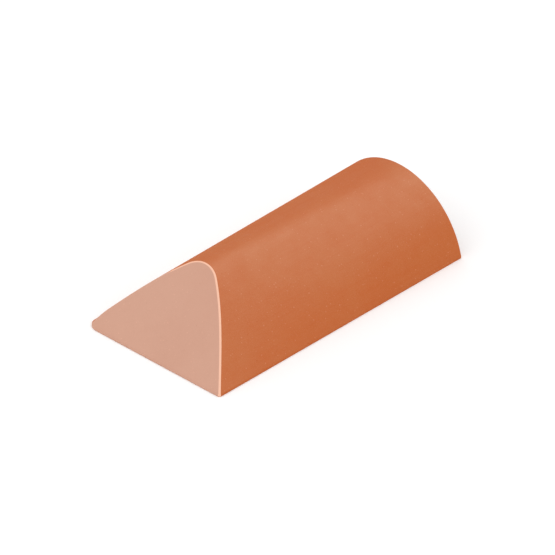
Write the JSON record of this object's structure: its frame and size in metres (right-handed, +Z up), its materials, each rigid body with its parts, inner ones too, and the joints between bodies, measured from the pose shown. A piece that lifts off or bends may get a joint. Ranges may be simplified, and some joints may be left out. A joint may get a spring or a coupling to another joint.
{
  "type": "hip end ridge tile",
  "caption": "Tapered half-round clay roof tile, open underneath and at the far end and closed at the near end by a leaning plate, to start the hip of a tiled roof.",
  "frame": {"origin": "on the plane that the tile rests on, in the middle of its width and length", "axes": "+Y along the barrel from the closed end to the open end, +X across it, +Z up"},
  "size_m": [0.2435, 0.457, 0.107],
  "materials": {
    "terracotta": "matt fired clay"
  },
  "bodies": {
    "root": {"ridge_tile": "terracotta"}
  },
  "joints": []
}
